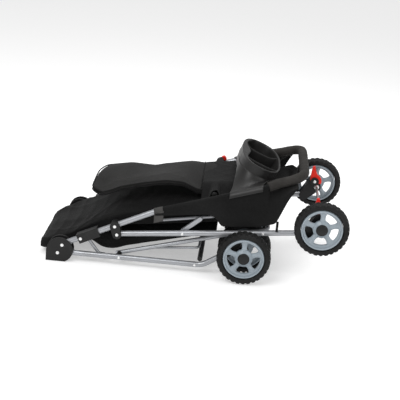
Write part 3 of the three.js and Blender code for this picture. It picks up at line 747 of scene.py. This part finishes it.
def tray_place(points):
    """Turns tray coordinates about Y by the mouth's tilt and moves them to the mouth's middle."""
    c, s = math.cos(TRAY_TILT), math.sin(TRAY_TILT)
    x, y, z = points[..., 0], points[..., 1], points[..., 2]
    return np.stack([x * c + z * s, y, -x * s + z * c], -1) + TRAY_AT


def make_tray():
    """The tub as rings of its outline from the outer floor over the lip to the inner floor,
    two dividers, and a skirt to each push tube."""
    outline = oval(200, TRAY_HALF, TRAY_REACH)
    front = smooth_steps(-outline[:, 0], 0.010, 0.050)
    ledge = front * (0.004 + 0.017 * np.exp(-((outline[:, 1] + 0.015) / 0.050) ** 2))
    rolled = [(0.0, -0.0030), (-0.0006, -0.0012), (-0.0002, 0.0004), (0.0014, 0.0010)]
    inside = [(0.0030, 0.0008, 1.0), (0.0044, -0.0012, 1.0), (0.0050, -0.0040, 1.0),
              (0.0060, -0.016, 0.9), (0.0070, -0.030, 0.8), (0.0085, -0.040, 0.7),
              (0.0130, -0.0446, 0.6), (0.034, -0.0450, 0.0), (0.0560, -0.0450, 0.0)]
    outside = [(0.0560, -0.0480), (0.034, -0.0480), (0.0055, -0.0480), (0.0030, -0.0465),
               (0.0016, -0.0430), (0.0010, -0.028), (0.0004, -0.012)]

    def shrunk(inset, z, ledge_share=0.0):
        """The outline moved in by an inset, its front by the ledge as well, at one height."""
        x = outline[:, 0] * (1 - inset / TRAY_REACH) + ledge * ledge_share
        y = outline[:, 1] * (1 - inset / TRAY_HALF * (1 if inset < 0.03 else 1.9))
        return np.stack([x, y, np.full(len(outline), z)], -1)

    rings = [shrunk(i, z) for i, z in outside + rolled] + [shrunk(i, z, e) for i, z, e in inside]
    tub = lattice(tray_place(np.array(rings)), loop_v=True)

    def divider(y, reach_low, reach_high, droop):
        """A thin wall across the tub whose rounded top edge droops towards its middle."""
        u = np.linspace(-1, 1, 24)[:, None]
        around = np.linspace(0, 2 * math.pi, 18, endpoint=False)[None, :]
        top = -0.0035 - droop * (1 - u ** 4)
        x = (reach_low + reach_high) / 2 + (reach_high - reach_low) / 2 * u + 0 * around
        yy = y + 0.0018 * np.cos(around) + 0 * u
        z = (top - 0.0455) / 2 + (top + 0.0455) / 2 * squarish(np.sin(around), 0.4)
        return closed_loft(tray_place(np.stack(np.broadcast_arrays(x, yy, z), -1)))

    walls = [divider(-DIVIDER_Y, -0.040, 0.0525, 0.004),
             divider(DIVIDER_Y, -0.044, 0.0525, 0.010)]
    piece("cup_tray_tub", joined(tub, *walls), "push_frame", "tray_plastic", ["cup_tray"],
          sharp=50)

    u = np.linspace(0, 1, 40)[:, None]
    v = np.linspace(0, 1, 48)[None, :]
    tube_share = 0.78
    for side, s in SIDES:
        # A skirt flows from the tub's end down over the push tube: a parabola from the tub to
        # the tube's top, then a quarter of an ellipse down its outer side.
        turn = math.pi + 0.12 + (math.pi - 0.50) * u
        power = 2 / TRAY_ROUNDNESS
        start = tray_place(np.stack([TRAY_REACH * 0.985 * squarish(np.cos(turn), power),
                                     TRAY_HALF * 0.985 * squarish(np.sin(turn), power),
                                     0 * turn - 0.026], -1))
        x_end = 0.088 + 0.089 * u
        tube = upper_z(x_end)
        top = np.stack([x_end, 0 * u - LEG_Y, tube + TUBE / 2 + 0.0026], -1)
        turn_x = 0.098 + 0.082 * u
        bend = np.stack([turn_x, 0 * u - 0.141, upper_z(turn_x) + TUBE / 2 + 0.0040], -1)
        t = np.clip(v / tube_share, 0, 1)[..., None]
        skirt = (1 - t) ** 2 * start + 2 * t * (1 - t) * bend + t ** 2 * top
        wrap = np.clip((v - tube_share) / 0.22, 0, 1) * math.pi / 2
        radius = TUBE / 2 + 0.0026
        skirt[..., 1] -= (radius + 0.0022) * np.sin(wrap)
        skirt[..., 2] -= (radius + 0.004) * (1 - np.cos(wrap))
        skirt[..., 1] *= -s
        piece(f"cup_tray_skirt_{side}", lattice(skirt), "push_frame", "tray_plastic",
              thickness=0.0024, sharp=60)


# ---------------------------------------------------------------- soft goods
def bundle(name, stations, spans, body, node, ripple, length, seed):
    """A slack bag as a loft: each ring is a rounded box between a lower and an upper line,
    crumpled by warped sine creases. stations are (x, bottom, top), spans are (x, lower half
    width, upper half width)."""
    x = np.linspace(stations[0][0], stations[-1][0], 190)[:, None]
    bottom = through(x, [(a, b) for a, b, _ in stations])
    top = through(x, [(a, c) for a, _, c in stations])
    turn = np.linspace(0, 2 * math.pi, 150, endpoint=False)[None, :]
    rise = squarish(np.sin(turn), 0.55)
    width_low = through(x, [(a, b) for a, b, _ in spans])
    width_high = through(x, [(a, c) for a, _, c in spans])
    width = width_low + (width_high - width_low) * smooth_steps(rise, -0.6, 0.8)
    y = width * squarish(np.cos(turn), 0.45)
    z = (top + bottom) / 2 + (top - bottom) / 2 * rise
    fold = crumple(x, y * 0.8, z, length, seed)
    z = z + ripple(x, y) * fold * np.where(rise > 0, 1.0, 0.6) * np.abs(rise)
    y = y + ripple(x, y) * 0.5 * fold * np.sign(y) * (1 - np.abs(rise))
    piece(name, closed_loft(np.stack(np.broadcast_arrays(x, y, z), -1)), body, "black_fabric",
          [node], sharp=180)


def make_cabin():
    stations = [(-0.4370, 0.014, 0.036), (-0.430, 0.008, 0.050), (-0.416, 0.008, 0.060),
                (-0.396, 0.012, 0.068), (-0.370, 0.026, 0.077), (-0.345, 0.048, 0.087),
                (-0.318, 0.070, 0.100), (-0.290, 0.084, 0.118), (-0.240, 0.093, 0.150),
                (-0.200, 0.100, 0.168), (-0.100, 0.112, 0.186), (0.0, 0.126, 0.200),
                (0.060, 0.134, 0.206), (0.085, 0.140, 0.212), (0.120, 0.154, 0.216),
                (0.180, 0.168, 0.222), (0.220, 0.182, 0.222), (0.240, 0.204, 0.214)]
    spans = [(-0.437, 0.122, 0.124), (-0.425, 0.139, 0.139), (-0.300, 0.140, 0.144),
             (-0.16, 0.139, 0.150), (0.180, 0.137, 0.150), (0.220, 0.130, 0.136),
             (0.240, 0.110, 0.120)]
    ripple = lambda x, y: 0.0035 + 0.0055 * (1 - smooth_steps(x, -0.36, -0.22)) + 0 * y
    bundle("cabin_cloth", stations, spans, "push_frame", "cabin", ripple, 0.052, 1.3)


def make_basket():
    stations = [(-0.294, 0.050, 0.066), (-0.280, 0.036, 0.074), (-0.246, 0.025, 0.078),
                (-0.222, 0.027, 0.079), (-0.190, 0.041, 0.086), (-0.100, 0.067, 0.095),
                (0.0, 0.096, 0.107), (0.060, 0.112, 0.117)]
    spans = [(-0.294, 0.12, 0.12), (-0.26, 0.140, 0.140), (0.030, 0.141, 0.141),
             (0.060, 0.13, 0.13)]
    ripple = lambda x, y: 0.0018 + 0.0018 * (1 - smooth_steps(x, -0.2, -0.05)) + 0 * y
    bundle("basket_cloth", stations, spans, "basket_frame", "storage_basket", ripple, 0.045, 2.6)


def make_side_panels():
    """Each panel wraps the push tube and hangs outside it to a curved hem: the section is part
    of a circle round the tube, then a falling line that bellies out before the hem."""
    u = np.linspace(0, 1, 190)[:, None]
    v = np.linspace(0, 1, 90)[None, :]
    wrap = 0.34
    for side, s in SIDES:
        x = -0.112 + u * 0.384
        hem = through(x, [(-0.130, 0.158), (-0.103, 0.163), (0.040, 0.180), (0.056, 0.172),
                          (0.073, 0.149), (0.120, 0.152), (0.186, 0.160), (0.221, 0.172),
                          (0.229, 0.192), (0.237, 0.212), (0.248, 0.240), (0.262, 0.266),
                          (0.272, 0.276)], 0.005)
        gripped = smooth_steps(x, 0.191, 0.198)
        lean = np.clip((x - LEAN_START_X) / (LEAN_END_X - LEAN_START_X), 0, 1) * (LEG_Y - HANDLE_Y)
        bare = 0 if s < 0 else smooth_steps(x, 0.060, 0.066) * (1 - smooth_steps(x, 0.096, 0.102))
        first = math.pi * (1.05 * (1 - gripped) - 0.42 * gripped) * (1 - bare)
        last = -math.pi * 0.48 * gripped
        share = np.clip(v / wrap, 0, 1)
        angle = first + (last - first) * share
        radius = TUBE / 2 + 0.0011 + gripped * (GRIP - TUBE) / 2
        hang = np.clip((v - wrap) / (1 - wrap), 0, 1)
        edge_y = LEG_Y - lean + radius * np.cos(last)
        edge_z = upper_z(x) + radius * np.sin(last)
        outer = LEG_Y + TUBE / 2 + 0.0019
        belly = np.sin(math.pi * hang)
        fold = 0.0016 * crumple(x, 0 * hang, edge_z - hang * 0.06, 0.028, 3.1) * belly
        drop_y = edge_y + (outer - edge_y) * smooth_steps(hang, 0.0, 0.35) + 0.0012 * belly + fold
        y = np.where(v > wrap, drop_y, LEG_Y - lean + radius * np.cos(angle))
        z = np.where(v > wrap, edge_z + (np.minimum(hem, edge_z - 0.001) - edge_z) * hang,
                     upper_z(x) + radius * np.sin(angle))
        cloth = lattice(np.stack(np.broadcast_arrays(x, s * y, z), -1))
        made = piece(f"side_panel_cloth_{side}", cloth, "push_frame", "black_fabric",
                     [f"side_panel_{side}"], sharp=180, thickness=0.0011)
        cuff_x = np.linspace(-0.114, -0.090, 12)
        cuff = np.stack([cuff_x, np.full(12, s * LEG_Y), push_z(cuff_x)], -1)
        piece(f"sleeve_cuff_{side}",
              swept(resampled(cuff, 0.002), TUBE / 2 + 0.0026, up=(0, 1, 0)),
              "push_frame", "cuff_mesh")
        u2, v2 = np.linspace(0, 1, 8)[:, None], np.linspace(0, 1, 12)[None, :]
        tab_x = -0.114 + 0.026 * u2 + 0 * v2
        tab = np.stack([tab_x, s * (LEG_Y + 0.0106 - 0.002 * v2 + 0 * u2),
                        push_z(tab_x) - 0.030 * v2], -1)
        piece(f"mesh_tab_{side}", lattice(tab), "push_frame", "cuff_mesh", thickness=0.0008,
              sharp=180)
        strap = np.stack(np.broadcast_arrays(0.222 + 0.007 * u2, s * (LEG_Y + 0.0088),
                                             0.178 - 0.030 * v2), -1)
        piece(f"panel_strap_{side}", lattice(strap), "push_frame", "black_fabric",
              thickness=0.0012, sharp=180)


# The hood's two long edges in the side view, as (x, z) stations.
CANOPY_NEAR = [(-0.303, 0.196), (-0.291, 0.190), (-0.269, 0.185), (-0.241, 0.195),
               (-0.220, 0.206), (-0.156, 0.224), (-0.093, 0.237), (-0.043, 0.237),
               (-0.006, 0.221), (0.052, 0.216)]
CANOPY_FAR = [(-0.303, 0.206), (-0.266, 0.216), (-0.212, 0.227), (-0.182, 0.226), (-0.143, 0.225),
              (-0.106, 0.234), (-0.076, 0.241), (-0.030, 0.249), (0.000, 0.247), (0.052, 0.248)]
CANOPY_HALF, CANOPY_BACK = 0.117, 0.050


def canopy_point(across, along):
    """A point of the hood's edge plan: across -1 is the near edge, along 0 is the front."""
    front = (-0.300 + 0.030 * np.clip((across - 0.2) / 0.8, 0, 1) ** 2
             + 0.005 * np.clip(-across - 0.6, 0, 1))
    corner = 0.030 * np.clip((np.abs(across) - 0.80) / 0.20, 0, 1) ** 2.4
    return front + corner + (CANOPY_BACK - front - corner) * along


def canopy_top(x, across):
    """The hood's upper face: from the near edge's line to the far one's, crowned and creased."""
    near = through(x, CANOPY_NEAR, 0.008) + 0.012
    far = through(x, CANOPY_FAR, 0.008)
    share = smooth_steps(across, -1.0, 0.55)
    crown = 0.005 * (1 - across ** 2)
    creases = 0.0020 * crumple(x, across * CANOPY_HALF, 0 * x, 0.055, 0.7) * (1 - across ** 4)
    return near + (far - near) * share + crown + creases - 0.010 * np.clip(across, 0, 1) ** 6


def make_canopy():
    """The folded hood: one curved pad whose underside meets its upper face at a thin rim."""
    along = np.linspace(0, 1, 150)[:, None]
    turn = np.linspace(0, 2 * math.pi, 150, endpoint=False)[None, :]
    across = squarish(np.cos(turn), 0.5)
    rise = np.sin(turn)
    x = canopy_point(across, along)
    top = canopy_top(x, across)
    near_rim, far_rim = 0.0115, 0.014
    thick = near_rim + (far_rim - near_rim) * (across + 1) / 2 + 0.016 * (1 - across ** 2)
    ends = np.clip(np.minimum(along / 0.03, (1 - along) / 0.02), 0, 1) ** 0.5
    z = top - thick / 2 + thick / 2 * squarish(rise, 0.35) * (0.25 + 0.75 * ends)
    pad = closed_loft(np.stack(np.broadcast_arrays(x, across * CANOPY_HALF, z), -1))
    hood = piece("canopy_hood_cloth", pad, "canopy_hood", "canopy_fabric", ["canopy"], sharp=180)
    for name, drop in (("upper", 0.0022), ("lower", 0.0118)):
        edge = np.concatenate([np.full(150, -1.0), np.linspace(-1, 1, 70)[1:]])
        run = np.concatenate([np.linspace(0.98, 0.0, 150), np.zeros(69)])
        px = canopy_point(edge, run)
        pz = canopy_top(px, edge) - drop
        route = np.stack([px - 0.0008 * (run == 0), edge * (CANOPY_HALF + 0.0008), pz], -1)
        piece(f"canopy_piping_{name}",
              swept(resampled(route, 0.003), 0.0018, 10, up=(0.3, 0.2, 0.93)),
              "canopy_hood", "black_fabric", sharp=180)
    seam = np.linspace(-0.96, 0.9, 60)
    seam_x = np.full(60, 0.006)
    stitch = np.stack([seam_x, seam * CANOPY_HALF, canopy_top(seam_x, seam) + 0.0004], -1)
    piece("canopy_seam", swept(stitch, 0.0013, 8, up=(1, 0, 0)), "canopy_hood", "black_fabric",
          sharp=180)


def make_back_cloth():
    """The cabin's upper cloth between the hood and the handle: it spans the push tubes, drops
    to them at its edges as a smooth step, and sinks into a pocket inside the handle's loop."""
    u = np.linspace(0, 1, 150)[:, None]
    v = np.linspace(-1, 1, 150)[None, :]
    x = 0.010 + 0.266 * u + 0 * v
    narrow = smooth_steps(x, 0.175, 0.215)
    rounded = 1 - 0.30 * smooth_steps(x, 0.256, 0.277) ** 2
    y = v * (0.159 - 0.030 * narrow) * rounded
    ridge = through(x, [(0.0, 0.244), (0.04, 0.250), (0.085, 0.257), (0.130, 0.256),
                        (0.190, 0.258), (0.215, 0.268), (0.240, 0.276), (0.256, 0.271),
                        (0.268, 0.262), (0.277, 0.246)], 0.006)
    edge = upper_z(x) - 0.003 - 0.010 * smooth_steps(x, 0.075, 0.095) - 0.028 * narrow
    edge = edge + 0.026 * np.exp(-((x - joint_at["canopy_hinge"][0]) / 0.013) ** 4)
    fall = smooth_steps(np.abs(v), 0.58 + 0.26 * narrow, 1.0)
    pocket = (0.046 * smooth_steps(x, 0.185, 0.222) * (1 - smooth_steps(x, 0.262, 0.277))
              * (1 - np.abs(v) ** 5))
    z = ridge + (edge - ridge) * fall - pocket
    z = z + (0.0030 * crumple(x, y, 0 * x, 0.040, 4.4) * (1 - fall)
             * np.sin(math.pi * np.clip(u, 0.06, 0.94)))
    made = piece("cabin_back_cloth", lattice(np.stack([x, y, z], -1)), "push_frame",
                 "black_fabric", sharp=180, thickness=0.0012)


# ---------------------------------------------------------------- build
set_stage()
MATERIALS = make_materials()
for entry in frame["record"]["subparts"]:
    node = frame["nodes"][entry["node"]]
    node.data.materials.clear()
    node.data.materials.append(MATERIALS[entry["material_slot"]])
make_tubes()
make_mouldings()
make_rivets()
make_wheels()
make_tray()
make_cabin()
make_basket()
make_side_panels()
make_canopy()
make_back_cloth()
